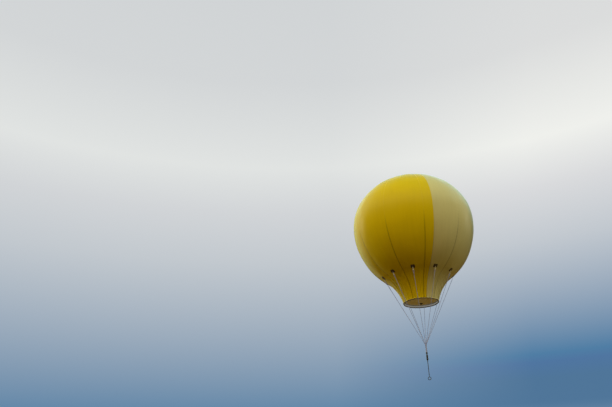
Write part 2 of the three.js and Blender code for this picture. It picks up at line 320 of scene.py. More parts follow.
def runningLength(points):
    steps = np.linalg.norm(np.diff(points, axis=0), axis=1)
    return np.concatenate([[0.0], np.cumsum(steps)])


def easedShare(value, low, high):
    share = np.clip((value - low) / (high - low), 0.0, 1.0)
    return share * share * (3 - 2 * share)


# The power of a number's size, with the number's sign: it makes a superellipse of a circle.
def signedPower(value, power):
    return np.sign(value) * np.abs(value) ** power


# Evenly spaced angles once round.
def onceRound(count):
    return np.linspace(0, 2 * math.pi, count, endpoint=False)


def aroundAxis(radius, azimuth, height):
    return np.stack(np.broadcast_arrays(radius * np.cos(azimuth), radius * np.sin(azimuth), height), -1)


def circle(columns, radius):
    angle = onceRound(columns)
    return np.multiply.outer(radius, np.column_stack([np.cos(angle), np.sin(angle)]))


# What each cell of a grid has at its four corners, in turn round the cell.
def cellCorners(grid):
    corners = np.stack([grid[:-1, :-1], grid[:-1, 1:], grid[1:, 1:], grid[1:, :-1]], 2)
    return corners.reshape(-1, *corners.shape[2:])


# A grid's cells as point numbers, and where their corners lie on the cloth: how far across along a middle
# row, how far along down a middle column. A closed grid has its first row or column again at its end.
def gridFaces(grid, closedRows=False, closedColumns=False, cloth=None):
    def wrapped(values):
        if closedRows:
            values = np.concatenate([values, values[:1]])
        if closedColumns:
            values = np.concatenate([values, values[:, :1]], 1)
        return values

    rows, columns = grid.shape[:2]
    if cloth is None:
        points = wrapped(grid)
        across = runningLength(points[len(points) // 2])
        along = runningLength(points[:, points.shape[1] // 2])
        cloth = np.stack(np.meshgrid(across, along), -1)
    return cellCorners(wrapped(np.arange(rows * columns).reshape(rows, columns))), cellCorners(cloth)


# A part has points, quads, triangles and both kinds' places on the cloth. A closed part whose faces
# enclose a negative volume is turned outside out.
def closedPart(points, quads, quadCloth, triangles=None, triangleCloth=None, **extra):
    if triangles is None:
        triangles = np.zeros((0, 3), int)
        triangleCloth = np.zeros((0, 3, 2))
    corners = np.concatenate([quads[:, :3], quads[:, [0, 2, 3]], triangles])
    a, b, c = (points[corners[:, i]] for i in range(3))
    if np.einsum("ij,ij->i", a, np.cross(b, c)).sum() < 0:
        quads, quadCloth = quads[:, ::-1], quadCloth[:, ::-1]
        triangles, triangleCloth = triangles[:, ::-1], triangleCloth[:, ::-1]
    return {"points": points, "quads": quads, "quadCloth": quadCloth,
            "triangles": triangles, "triangleCloth": triangleCloth, **extra}


# A tube: columns go round and close, and each open end gets a fan about its middle.
def tubePart(grid):
    rows, columns = grid.shape[:2]
    points = np.concatenate([grid.reshape(-1, 3), grid[0].mean(0)[None], grid[-1].mean(0)[None]])
    here = np.arange(columns)
    after = np.roll(here, -1)
    last = (rows - 1) * columns
    middle = np.full(columns, rows * columns)
    fans = np.concatenate([np.stack([after, here, middle], 1),
                           np.stack([here + last, after + last, middle + 1], 1)])
    spot = points[fans][..., :2]
    return closedPart(points, *gridFaces(grid, closedColumns=True), fans, spot - spot.mean((0, 1)))


# A ring: both rows and columns close.
def ringPart(grid):
    return closedPart(grid.reshape(-1, 3), *gridFaces(grid, True, True))


# A skin: the grid, the same grid sunk along its normals by the thickness, and a rim between their edges.
# A normal is the cross product of the steps to the neighbours along a row and down a column.
def skinPart(grid, thickness, outward, cloth=None, reach=None):
    rows, columns = grid.shape[:2]
    normal = unit(np.cross(np.gradient(grid, axis=1), np.gradient(grid, axis=0)))
    if normal[rows // 2, columns // 2] @ outward < 0:
        normal = -normal
    points = np.concatenate([grid.reshape(-1, 3), (grid - normal * thickness).reshape(-1, 3)])
    count = rows * columns
    number = np.arange(count).reshape(rows, columns)
    cells, onCloth = gridFaces(grid, cloth=cloth)
    loop = np.concatenate([number[0, :-1], number[:-1, -1], number[-1, :0:-1], number[:0:-1, 0]])
    onward = np.roll(loop, -1)
    rim = np.stack([onward, loop, loop + count, onward + count], 1)
    rimCloth = np.tile(onCloth[0, 0], (len(rim), 4, 1))
    quads = np.concatenate([cells, cells[:, ::-1] + count, rim])
    quadCloth = np.concatenate([onCloth, onCloth[:, ::-1], rimCloth])
    extra = {} if reach is None else {"reach": np.tile(reach.reshape(-1), 2)}
    return closedPart(points, quads, quadCloth, **extra)


# The same small shape at many places: its corners along each place's direction, across it and up from it.
def scatteredPart(shape, centres, directions, ups):
    directions = unit(directions)
    ups = unit(ups - np.einsum("ij,ij->i", ups, directions)[:, None] * directions)
    axes = np.stack([directions, np.cross(ups, directions), ups], 1)
    points = centres[:, None] + np.einsum("kc,ncx->nkx", shape["points"], axes)
    shift = (np.arange(len(centres)) * len(shape["points"]))[:, None, None]
    faces = []
    for kind, corners in (("quad", 4), ("triangle", 3)):
        faces.append((shape[kind + "s"] + shift).reshape(-1, corners))
        faces.append(np.tile(shape[kind + "Cloth"], (len(centres), 1, 1)))
    return closedPart(points.reshape(-1, 3), *faces)


# A stitch: a square bar that tapers to a point at each end and stands a little out of the cloth.
def stitchShape(length, width=0.0012, rise=0.0012):
    half = np.array([[1, 0], [0, 1], [-1, 0], [0, -1]]) * [width / 2, rise / 2]
    rings = [np.column_stack([np.full(4, x), half + [0, rise * 0.3]]) for x in (-length * 0.3, length * 0.3)]
    part = tubePart(np.stack(rings))
    part["points"][-2:] = [[-length / 2, 0, -rise * 0.2], [length / 2, 0, -rise * 0.2]]
    return part


# Joins the parts into one mesh and makes it a piece with its material and body, and hides the parts it stands
# for.
def addPiece(name, parts, material, stands=None, body="balloon", sharp=38):
    def together(key):
        return np.concatenate([part[key] for part in parts])

    starts = np.cumsum([0] + [len(part["points"]) for part in parts])
    quads, triangles = (np.concatenate([part[kind] + start for part, start in zip(parts, starts)])
                        for kind in ("quads", "triangles"))
    corners = np.concatenate([quads.reshape(-1), triangles.reshape(-1)])
    begins = np.concatenate([np.arange(len(quads)) * 4, len(quads) * 4 + np.arange(len(triangles)) * 3])
    onCloth = np.concatenate([together("quadCloth").reshape(-1), together("triangleCloth").reshape(-1)])
    mesh = bpy.data.meshes.new(name)
    mesh.vertices.add(starts[-1])
    mesh.vertices.foreach_set("co", together("points").astype(np.float32).reshape(-1))
    mesh.loops.add(len(corners))
    mesh.loops.foreach_set("vertex_index", corners.astype(np.int32))
    mesh.polygons.add(len(begins))
    mesh.polygons.foreach_set("loop_start", begins.astype(np.int32))
    mesh.update(calc_edges=True)
    mesh.uv_layers.new(name="cloth").uv.foreach_set("vector", onCloth.astype(np.float32))
    if "reach" in parts[0]:
        reach = mesh.attributes.new("seamReach", "FLOAT", "POINT")
        reach.data.foreach_set("value", together("reach").astype(np.float32))
    mesh.shade_smooth()
    mesh.set_sharp_from_angle(angle=math.radians(sharp))
    mesh.materials.append(materials[material])
    piece = bpy.data.objects.new(name, mesh)
    scene.collection.objects.link(piece)
    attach(piece, body)
    if stands:
        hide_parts(stands)


# A section carried along a path. Each row is the path's point plus the section's first measure along the
# side direction, made square to the path, and its second along the cross product of path and side.
def swept(path, section, side, closed=False):
    ahead = unit(np.roll(path, -1, 0) - np.roll(path, 1, 0) if closed else np.gradient(path, axis=0))
    first = unit(side - (ahead @ side)[:, None] * ahead)
    second = np.cross(ahead, first)
    section = np.broadcast_to(section, (len(path), *section.shape[-2:]))
    return path[:, None] + section[..., :1] * first[:, None] + section[..., 1:] * second[:, None]


# A path with points at even steps along the same line.
def evenPath(points, step):
    length = runningLength(points)
    places = np.linspace(0, length[-1], max(2, int(round(length[-1] / step)) + 1))
    return np.column_stack([np.interp(places, length, column) for column in points.T])


# A three-strand rope: lobes on a circle that turn once round for each lay along the path.
def ropePart(path, radius, side, lay=3.6, lobes=(1.0, 0.89, 0.66, 0.89)):
    outline = radius * np.tile(lobes, 3)
    angle = onceRound(len(outline)) + (2 * math.pi * runningLength(path) / (lay * 2 * radius))[:, None]
    return tubePart(swept(path, np.stack([outline * np.cos(angle), outline * np.sin(angle)], -1), side))


# A plaited rope: a circle whose radius rises and falls where two sets of opposite helices cross.
def plaitPart(path, radius, side, columns=12, strands=3, lay=2.2, rise=0.06):
    angle = onceRound(columns)
    climb = runningLength(path)[:, None] / (radius * lay)
    spread = radius * (1 + rise * np.sin(strands * angle + 2 * climb) * np.sin(strands * angle - 2 * climb))
    return tubePart(swept(path, np.stack([spread * np.cos(angle), spread * np.sin(angle)], -1), side))


# Twine wound round a path: a round section whose radius swells once for each turn of the twine.
def whippingPart(path, radius, twine, side):
    length = runningLength(path)
    swell = twine * np.abs(np.sin(math.pi * length / (2 * twine)))
    ends = np.clip(np.minimum(length, length[-1] - length) / (2 * twine), 0.0, 1.0)
    return tubePart(swept(path, circle(18, (radius + swell) * (0.75 + 0.25 * ends)), side))


# Twine wound round the balloon's axis from one height to another.
def axisWhipping(first, last, step, radius, twine):
    return whippingPart(evenPath(np.array([[0, 0, first], [0, 0, last]]), step), radius, twine, rightward)


# Rounds a profile's corners: each is replaced by a short arc's points between the two places where it starts.
def rounded(profile, radius, steps=4):
    profile = np.asarray(profile, float)
    out = [profile[:1]]
    for before, corner, after in zip(profile[:-2], profile[1:-1], profile[2:]):
        back, onward = before - corner, after - corner
        cut = min(radius, np.linalg.norm(back) * 0.45, np.linalg.norm(onward) * 0.45)
        start, end = corner + unit(back) * cut, corner + unit(onward) * cut
        share = np.linspace(0, 1, steps + 1)[:, None]
        out.append((1 - share) ** 2 * start + 2 * share * (1 - share) * corner + share ** 2 * end)
    return np.concatenate([*out, profile[-1:]])


# A turned piece: the radius and height of each profile point, the height from a level, carried round an axis.
def turnedGrid(profile, columns, level=0.0, place=(0.0, 0.0), ripple=None):
    profile = np.asarray(profile, float)
    angle = onceRound(columns)
    radius = profile[:, :1] * (np.ones(columns) if ripple is None else ripple(angle))
    return aroundAxis(radius, angle, profile[:, 1:]) + [*place, level]


# Envelope outline

envelope = {
    "radius": 2.5, "crownRise": 2.166, "lowerArc": 2.759, "loadLevel": -2.265,
    "hollowLean": (55.5, 14.7),    # degrees from the axis, at the load level and at the neck
    "neckRadius": 0.704, "neckHeight": 0.025, "neckLean": 4.6,
    "crownOpening": 0.16,
    "goreCount": 10, "firstSeam": -162.0,
    "clothThickness": 0.002,
}


# Radius and height down the outline: a quarter ellipse from the crown to the widest level, part of a
# taller one to the load level, an arc that hollows in until nearly upright, and the neck's short slope.
def envelopeOutline():
    radius, level, neck = envelope["radius"], envelope["loadLevel"], envelope["neckRadius"]

    def ellipse(first, last, rise):
        angle = np.linspace(first, last, 900)[:, None]
        return np.hstack([radius * np.cos(angle), rise * np.sin(angle)])

    crown = ellipse(math.acos(envelope["crownOpening"] / radius), 0, envelope["crownRise"])
    loadAngle = math.asin(-level / envelope["lowerArc"])
    body = ellipse(0, loadAngle, -envelope["lowerArc"])[1:]
    wide = radius * math.cos(loadAngle)
    steep, easy = np.radians(envelope["hollowLean"])
    arc = (wide - neck) / (math.cos(easy) - math.cos(steep))
    lean = np.linspace(steep, easy, 600)[1:, None]
    hollow = [wide, level] + arc * np.hstack([math.cos(steep) - np.cos(lean), np.sin(lean) - math.sin(steep)])
    drop = np.linspace(0, envelope["neckHeight"], 30)[1:, None]
    slope = np.hstack([neck - drop * math.tan(math.radians(envelope["neckLean"])), hollow[-1, 1] - drop])
    points = np.concatenate([crown, body, hollow, slope])
    return points, len(crown) + len(body) - 1, len(crown) + len(body) + len(hollow) - 1


outline, loadIndex, neckIndex = envelopeOutline()
outlineRun = runningLength(outline)
loadRun, neckRun, endRun = outlineRun[[loadIndex, neckIndex, -1]]
widestRun = np.interp(0.0, -outline[:, 1], outlineRun)
edgeLevel = outline[-1, 1]
alongOutline = np.gradient(outline, outlineRun, axis=0)
outlineTable = np.column_stack([outline, -alongOutline[:, 1], alongOutline[:, 0]])
goreCount = envelope["goreCount"]
goreAngle = math.radians(360 / goreCount)
firstSeam = math.radians(envelope["firstSeam"])


# The outline's radius, height and normal at a run.
def outlineAt(run):
    return [np.interp(run, outlineRun, column) for column in outlineTable.T]


# Relief of the tight skin, in metres out from the outline

reliefSet = {
    "seamDepth": (0.007, 0.013, 0.017, 0.010),   # at the crown, the widest level, the load level and the neck
    "puckerRise": 0.0022, "puckerPitch": 0.15, "puckerReach": 0.075,
    # how far the cloth sinks between load points, how far up and down, and how far from each it starts
    "slackDepth": 0.011, "slackBand": 0.42, "slackStart": 0.24,
    "fanRise": 0.0045, "fanRidges": 9, "fanStart": 0.12, "fanReach": 0.38,    # ridges above each load point
    "pleatRise": 0.0075, "pleats": 30,           # upright pleats in the hollow above the neck
    "crownRise": 0.003, "crownPleats": 60, "crownReach": 0.28,
}
slowWaves = [
    # turns round the balloon, turns per metre down it, rise
    (5, 0.31, 0.0030), (7, -0.42, 0.0024), (11, 0.55, 0.0018), (16, -0.37, 0.0014), (23, 0.80, 0.0010),
]
seamPhase = chance.uniform(0, 2 * math.pi, goreCount)
fanPhase = chance.uniform(0, 2 * math.pi, goreCount)
wavePhase = chance.uniform(0, 2 * math.pi, len(slowWaves))


# The sum of: a valley at each seam, deepest on it and nil at the gore's middle; puckers that die out away
# from the seam; slow waves; the sinking between load points and the ridges that fan up from each; pleats
# above the neck; and pleats round the crown.
def relief(azimuth, run):
    form = reliefSet
    turns = (azimuth - firstSeam) / goreAngle
    gore = np.floor(turns + 1e-9).astype(int)
    share = turns - gore
    depth = np.interp(run, [0.0, widestRun, loadRun, endRun], form["seamDepth"])
    out = -depth * (1 - 2 * share) ** 2

    width = goreAngle * outlineAt(run)[0]
    beside = np.minimum(share, 1 - share)
    phase = seamPhase[np.where(share < 0.5, gore, gore + 1) % goreCount]
    wave = np.sin(2 * math.pi * run / form["puckerPitch"] + phase + 1.3 * np.sin(2.1 * run + phase))
    strength = 0.55 + 0.45 * np.sin(1.7 * run + 2 * phase)
    out = out + form["puckerRise"] * strength * wave * np.exp(-beside * width / form["puckerReach"])

    for (around, down, rise), phase in zip(slowWaves, wavePhase):
        out = out + rise * np.sin(around * azimuth + 2 * math.pi * down * run + phase)

    aside = (share - 0.5) * width
    above = loadRun - run
    distance = np.hypot(aside, above)
    direction = np.arctan2(aside, above)
    sinking = np.exp(-(above / form["slackBand"]) ** 2) * (1 - np.exp(-(distance / form["slackStart"]) ** 2))
    fan = np.cos(form["fanRidges"] * direction + fanPhase[gore % goreCount])
    fan = fan * (0.5 + 0.5 * np.cos(direction)) * np.clip(beside * 6, 0, 1)
    fan = fan * distance / (distance + form["fanStart"]) * np.exp(-distance / form["fanReach"])
    out = out - form["slackDepth"] * sinking + form["fanRise"] * fan

    hollow = easedShare(run, loadRun + 0.02, loadRun + 0.55)
    hollow = hollow * (1 - 0.35 * easedShare(run, neckRun - 0.3, endRun))
    pleat = np.sin(form["pleats"] * azimuth + 1.4 * np.sin(3 * azimuth + 1.0) + 0.7 * np.sin(7 * azimuth))
    pleat = pleat + 0.5 * np.sin(53 * azimuth + 0.8 * np.sin(4 * azimuth) + 2.2 * run)
    crown = np.exp(-run / form["crownReach"]) * np.sin(form["crownPleats"] * azimuth)
    return out + form["pleatRise"] * hollow * pleat + form["crownRise"] * crown


# A point of the skin: the outline's point moved along its normal by the relief and the lift, at the azimuth.
def skinPoint(azimuth, run, lift=0.0):
    radius, height, normalOut, normalUp = outlineAt(run)
    out = relief(azimuth, run) + lift
    return aroundAxis(radius + normalOut * out, azimuth, height + normalUp * out)


# Gore panels and seam tapes

panelSet = {"rows": 270, "columns": 28}
panels = [
    # name, first and last quarter of a gore counted from the first seam, finish
    ("gore_1_yellow", 0, 4, "yellow"), ("gore_2_yellow", 4, 8, "yellow"),
    ("gore_3_yellow_side", 8, 9, "yellow"), ("gore_3_cream_side", 9, 12, "cream"),
    ("gore_4_cream", 12, 16, "cream"), ("gore_5_cream", 16, 20, "cream"),
    ("gore_6_cream", 20, 24, "cream"), ("gore_7_cream", 24, 28, "cream"),
    ("gore_8_cream_side", 28, 29, "cream"), ("gore_8_yellow_side", 29, 32, "yellow"),
    ("gore_9_yellow", 32, 36, "yellow"), ("gore_10_yellow", 36, 40, "yellow"),
]


# Row places down the outline, closer together from above the load level to the neck.
def panelRuns():
    fine = np.linspace(0, endRun, 2000)
    weight = 1 + 0.9 * easedShare(fine, loadRun - 0.9, loadRun - 0.3)
    total = np.cumsum(weight) - weight[0]
    return np.interp(np.linspace(0, total[-1], panelSet["rows"]), total, fine)


runs = panelRuns()


def addPanels():
    radius = outlineAt(runs)[0][:, None]
    for name, first, last, finish in panels:
        cells = round(panelSet["columns"] * (0.35 + 0.65 * (last - first) / 4))
        even = np.linspace(0, 1, cells + 1)
        turns = (first + (last - first) * (0.5 * even + 0.25 * (1 - np.cos(math.pi * even)))) / 4
        down, across = np.meshgrid(runs, firstSeam + turns * goreAngle, indexing="ij")
        grid = skinPoint(across, down)
        cloth = np.stack([(turns - (first // 4) - 0.5) * goreAngle * radius, down], -1)
        reach = np.abs(turns - np.round(turns)) * goreAngle * radius
        outward = grid[len(runs) // 2, cells // 2] * [1, 1, 0]
        part = skinPart(grid, envelope["clothThickness"], outward, cloth, reach)
        addPiece(name + "_cloth", [part], finish, name)


tapeSet = {"width": 0.036, "narrow": 0.0216, "rise": 0.0014, "sunk": 0.0030, "firstRun": 0.04}


# A welded tape along a seam: a flat section with thin edges that follows the skin to each side of the seam.
def addTape(name, gores, width, finish):
    aside = width / 2 * np.array([-1, -0.88, -0.4, 0, 0.4, 0.88, 1, 0.4, -0.4])
    lift = np.array([-0.0004] + [tapeSet["rise"]] * 5 + [-0.0004] + [-tapeSet["sunk"]] * 2)
    down = runs[(runs > tapeSet["firstRun"]) & (runs < endRun - 0.002)][:, None]
    azimuth = firstSeam + gores * goreAngle + aside / outlineAt(down)[0]
    addPiece(name, [tubePart(skinPoint(azimuth, down, lift))], finish + "Tape")


def addTapes():
    colours = {start: finish for _, start, _, finish in panels}
    for seam in range(goreCount):
        addTape(f"seam_tape_{seam + 1}", seam, tapeSet["width"], colours[seam * 4])
    addTape("colour_seam_1", 9 / 4, tapeSet["narrow"], "cream")
    addTape("colour_seam_2", 29 / 4, tapeSet["narrow"], "cream")


addPanels()
addTapes()
print("envelope panels and seam tapes are made")


# Crown patch

crownSet = {
    "radius": 0.29, "rimLevel": 2.155, "flatRadius": 0.09, "flatLevel": 2.184138, "layer": 0.0022,
    "underside": [(0.012, 2.120), (0.27, 2.138), (0.29, 2.1455), (0.291, 2.150)],
    "layerRadii": (0.240, 0.175), "pucker": 0.0012, "puckers": 20,
}


# Three round layers, each smaller than the one below, on a cone that ends in a flat middle.
def addCrown():
    rim, flat, level = crownSet["radius"], crownSet["flatRadius"], crownSet["flatLevel"]
    slope = (level - crownSet["rimLevel"]) / (rim - flat)

    def top(radius, below):
        return (radius, crownSet["rimLevel"] + (rim - radius) * slope - below * crownSet["layer"])

    low, high = crownSet["layerRadii"]
    profile = crownSet["underside"] + [
        top(rim, 2), top(low, 2), top(low - 0.001, 1), top(high, 1), top(high - 0.001, 0),
        (flat, level), (crownSet["underside"][0][0], level)]
    grid = turnedGrid(rounded(profile, 0.0012, 2), 160)
    azimuth = np.arctan2(grid[..., 1], grid[..., 0])
    wave = np.sin(crownSet["puckers"] * azimuth + 0.6 * np.sin(3 * azimuth))
    grid[..., 2] += crownSet["pucker"] * wave * easedShare(np.hypot(grid[..., 0], grid[..., 1]), 0.12, rim)
    addPiece("crown_patch_layers", [tubePart(grid)], "cream", "crown_patch")


addCrown()


# Neck: hem roll, lining, mouth disc and filling valve

neckSet = {
    "hemRadius": 0.017, "hemSetIn": 0.005, "hemDrop": 0.0173, "hemStitches": 360, "stitchRise": 0.009,
    "discInset": 0.075, "discRadius": 0.7, "discDome": 0.040, "discThickness": 0.003,
    "creaseRise": 0.0026, "waveRises": (0.0022, 0.0016),
    "liningInset": 0.0024, "liningThickness": 0.0018,
    "edgeCord": 0.007, "seamPlaces": (-0.235, 0.215), "seamWidth": 0.030, "seamCircle": 0.694,
}
discLevel = edgeLevel + neckSet["discInset"]


# The hem: a circle carried round the neck's edge, its radius puckered by the drawn-in cloth.
def addHem():
    azimuth = onceRound(540)
    edge = skinPoint(azimuth, endRun)
    reach = np.hypot(edge[:, 0], edge[:, 1]) - neckSet["hemSetIn"]
    path = aroundAxis(reach, azimuth, edge[:, 2] - neckSet["hemDrop"])
    pucker = 1 + 0.035 * np.sin(130 * azimuth + 2 * np.sin(5 * azimuth)) + 0.02 * np.sin(47 * azimuth)
    grid = swept(path, circle(16, neckSet["hemRadius"] * pucker), upright, closed=True)
    addPiece("neck_hem_roll", [ringPart(grid)], "hem", "neck_hem")
    azimuth = onceRound(neckSet["hemStitches"])
    run = endRun - neckSet["stitchRise"]
    centres, ahead = (skinPoint(azimuth + turn, run, 0.0003) for turn in (0, 0.005))
    part = scatteredPart(stitchShape(0.0085, 0.0014), centres, ahead - centres, centres * [1, 1, 0])
    addPiece("hem_stitching", [part], "darkThread")


# Radius of the neck's inner wall at a height, with the skin's relief.
def wallRadius(azimuth, height, inset):
    run = np.interp(-height, -outline[loadIndex:, 1], outlineRun[loadIndex:])
    point = skinPoint(azimuth, run * np.ones_like(azimuth))
    return np.hypot(point[..., 0], point[..., 1]) - envelope["clothThickness"] - inset


# The lining: a thin band inside the neck from the disc's edge to the hem.
def addLining():
    azimuth = onceRound(560)
    heights = np.linspace(discLevel + 0.012, edgeLevel - 0.004, 9)
    outer = neckSet["liningInset"]
    columns = [aroundAxis(wallRadius(azimuth, height, inset), azimuth, height)
               for inset, way in ((outer, heights), (outer + neckSet["liningThickness"], heights[::-1]))
               for height in way]
    addPiece("neck_lining", [ringPart(np.stack(columns, 1))], "lining")


# A point of the disc's underside: a shallow bowl that hangs lowest in the middle, with radial creases
# that grow towards the edge and two slow waves across.
def discPoint(x, y, lift=0.0):
    azimuth, share = np.arctan2(y, x), np.hypot(x, y) / neckSet["discRadius"]
    crease = np.sin(38 * azimuth + 1.6 * np.sin(3 * azimuth))
    crease = crease + 0.6 * np.sin(61 * azimuth + np.sin(5 * azimuth))
    first, second = neckSet["waveRises"]
    height = discLevel - neckSet["discDome"] * (1 - share ** 2) + lift
    height = height + neckSet["creaseRise"] * crease * share ** 5 * (1 - 0.6 * easedShare(share, 0.95, 1.0))
    height = height + first * np.sin(9 * x + 3 * y) * (1 - share ** 4)
    return np.stack([x, y, height + second * np.sin(5 * x - 11 * y) * (1 - share)], -1)


def addDisc():
    inset = neckSet["liningInset"] + neckSet["liningThickness"] + 0.0006
    azimuth = onceRound(240)
    share = np.concatenate([[0.015], np.linspace(0.05, 0.72, 20), np.linspace(0.74, 1.0, 20)])[:, None]
    distance = share * wallRadius(azimuth, discLevel, inset)
    under = discPoint(distance * np.cos(azimuth), distance * np.sin(azimuth))
    both = np.concatenate([under, under[::-4] + upright * neckSet["discThickness"]])
    addPiece("mouth_disc_cloth", [tubePart(both)], "disc", "mouth_disc")
    azimuth = onceRound(360)
    reach = wallRadius(azimuth, discLevel, inset + neckSet["edgeCord"])
    path = discPoint(reach * np.cos(azimuth), reach * np.sin(azimuth), -0.003)
    cord = ringPart(swept(path, circle(12, neckSet["edgeCord"]), upright, closed=True))
    addPiece("mouth_disc_cord", [cord], "darkThread")
    parts = []
    for place in neckSet["seamPlaces"]:
        reach = math.sqrt(neckSet["seamCircle"] ** 2 - place ** 2)
        aside = place + neckSet["seamWidth"] / 2 * np.array([-1, -0.85, 0, 0.85, 1, 0])
        lift = np.array([0.0003, -0.0011, -0.0012, -0.0011, 0.0003, 0.0008])
        x, y = np.meshgrid(aside, np.linspace(-reach, reach, 90))
        parts.append(tubePart(discPoint(x, y, lift)))
    addPiece("mouth_disc_seams", parts, "disc")


# Radii and heights, the heights from the disc's underside at the valve
valveSet = {
    "azimuth": 78, "reach": 0.3, "bowlRadius": 0.7033,    # how far out the disc's bowl is at its edge's level
    "screwCircle": 0.060, "screwLevel": -0.010,
    "flange": [(0.004, 0.006), (0.058, 0.006), (0.070, 0.001), (0.070, -0.009), (0.067, -0.010),
               (0.050, -0.010), (0.047, -0.013), (0.040, -0.015), (0.004, -0.015)],
    "capSide": [(0.036, -0.014), (0.044, -0.0155), (0.044, -0.032), (0.0405, -0.0345)],
    "capTop": [(0.040, -0.035), (0.038, -0.038), (0.026, -0.038), (0.0245, -0.0368), (0.006, -0.0368)],
    "screw": [(0.0042, 0.001), (0.0042, -0.0016), (0.0034, -0.0024), (0.0010, -0.0024)],
}


# The valve: a flange with eight screws, a stepped neck and a ribbed cap, all turned about one upright axis.
def addValve():
    azimuth, reach = math.radians(valveSet["azimuth"]), valveSet["reach"]
    place = (reach * math.cos(azimuth), reach * math.sin(azimuth))
    level = discLevel - neckSet["discDome"] * (1 - (reach / valveSet["bowlRadius"]) ** 2)
    base = tubePart(turnedGrid(rounded(valveSet["flange"], 0.0015), 96, level, place))
    addPiece("valve_flange", [base], "plastic", "filling_valve")

    def ribs(angle):
        return 1 - 0.022 * easedShare(np.cos(30 * angle), -0.2, 0.4)

    side = turnedGrid(valveSet["capSide"], 240, level, place, ribs)
    top = turnedGrid(valveSet["capTop"], 240, level, place)
    addPiece("valve_cap", [tubePart(np.concatenate([side, top]))], "plastic", sharp=30)
    outwards = aroundAxis(1.0, onceRound(8) + 0.2, 0.0)
    centres = outwards * valveSet["screwCircle"] + [*place, level + valveSet["screwLevel"]]
    head = tubePart(turnedGrid(valveSet["screw"], 16))
    screws = scatteredPart(head, centres, outwards, np.tile(upright, (8, 1)))
    addPiece("valve_screws", [screws], "steel")


addHem()
addLining()
addDisc()
addValve()
print("neck is made")


# Load points: patch, strap, rope eye and bridle rope in the upright plane of each gore's middle

loadSet = {
    "patchWidth": 0.170, "patchHeight": 0.160, "patchThickness": 0.0028, "corner": 7.0,
    "flapWidth": 0.112, "flapHeight": 0.066, "flapLow": 0.006, "stitchPitch": 0.0078,
    "strapWidth": 0.034, "strapThickness": 0.0022, "strapLift": 0.0058, "strapStep": 0.003,
    "loopPlace": 0.1415, "loopRadius": 0.0098, "sleeveFrom": 0.044, "sleeveTo": 0.078,
    "ropeRadius": 0.0070, "eyeRadius": 0.0060, "eyeHalfWidth": 0.026, "eyeRound": 0.030, "throat": 0.2405,
    "whipping": 0.040, "ropeStep": 0.0060,
}
bundleSet = {
    "top": -4.990, "ropeCircle": 0.027, "innerCircle": 0.0202, "ropeRadius": 0.0066, "twist": 0.9,
    "core": 0.015,
    "lashings": ((0.014, 0.074, 0.0285), (0.150, 0.172, 0.0278), (0.262, 0.300, 0.0282)),   # from, to, radius
}
seat = np.array([outline[loadIndex, 0] + 0.0066, envelope["loadLevel"]])
ropeRun = np.array([bundleSet["ropeCircle"], bundleSet["top"]]) - seat
ropeLength = np.linalg.norm(ropeRun)
ropeWay = ropeRun / ropeLength
loadAzimuths = firstSeam + (np.arange(goreCount) + 0.5) * goreAngle


# A point of the load point's plane from its distance out and height, turned to the gore's azimuth.
def inPlane(flat, azimuth, aside=0.0):
    out, up = flat[..., 0], flat[..., 1]
    return np.stack([out * math.cos(azimuth) - aside * math.sin(azimuth),
                     out * math.sin(azimuth) + aside * math.cos(azimuth), up + 0 * aside], -1)


# The direction square to that plane.
def sideOf(azimuth):
    return np.array([-math.sin(azimuth), math.cos(azimuth), 0.0])


# A line of the plane that follows the rope's way, from one distance from the seat to another.
def ropeLine(azimuth, first, last, step):
    return evenPath(inPlane(seat + ropeWay * np.array([[first], [last]]), azimuth), step)


# A rectangle with rounded corners as a grid: each square ring of the grid is drawn onto a superellipse.
def roundedRectangle(width, height, rows, columns):
    power = loadSet["corner"]
    b, a = np.meshgrid(np.linspace(1, -1, rows), np.linspace(-1, 1, columns), indexing="ij")
    square = np.maximum(np.abs(a), np.abs(b))
    shrink = square / np.maximum((np.abs(a) ** power + np.abs(b) ** power) ** (1 / power), 1e-9)
    return a * shrink * width / 2, b * shrink * height / 2, square


# Points on the skin: places aside and above the load point, wrapped on the skin with the lift.
def onSkin(azimuth, aside, above, lift):
    run = loadRun - above
    return skinPoint(azimuth + aside / outlineAt(run)[0], run, lift)


def stitchesOnSkin(azimuth, aside, above, lift):
    line = evenPath(np.column_stack([aside, above]), loadSet["stitchPitch"]).T
    middle = (line[:, 1:] + line[:, :-1]) / 2
    centres = onSkin(azimuth, *middle, lift)
    ahead = onSkin(azimuth, *line[:, 1:], lift) - onSkin(azimuth, *line[:, :-1], lift)
    return scatteredPart(stitchShape(0.0058), centres, ahead, onSkin(azimuth, *middle, lift + 0.01) - centres)


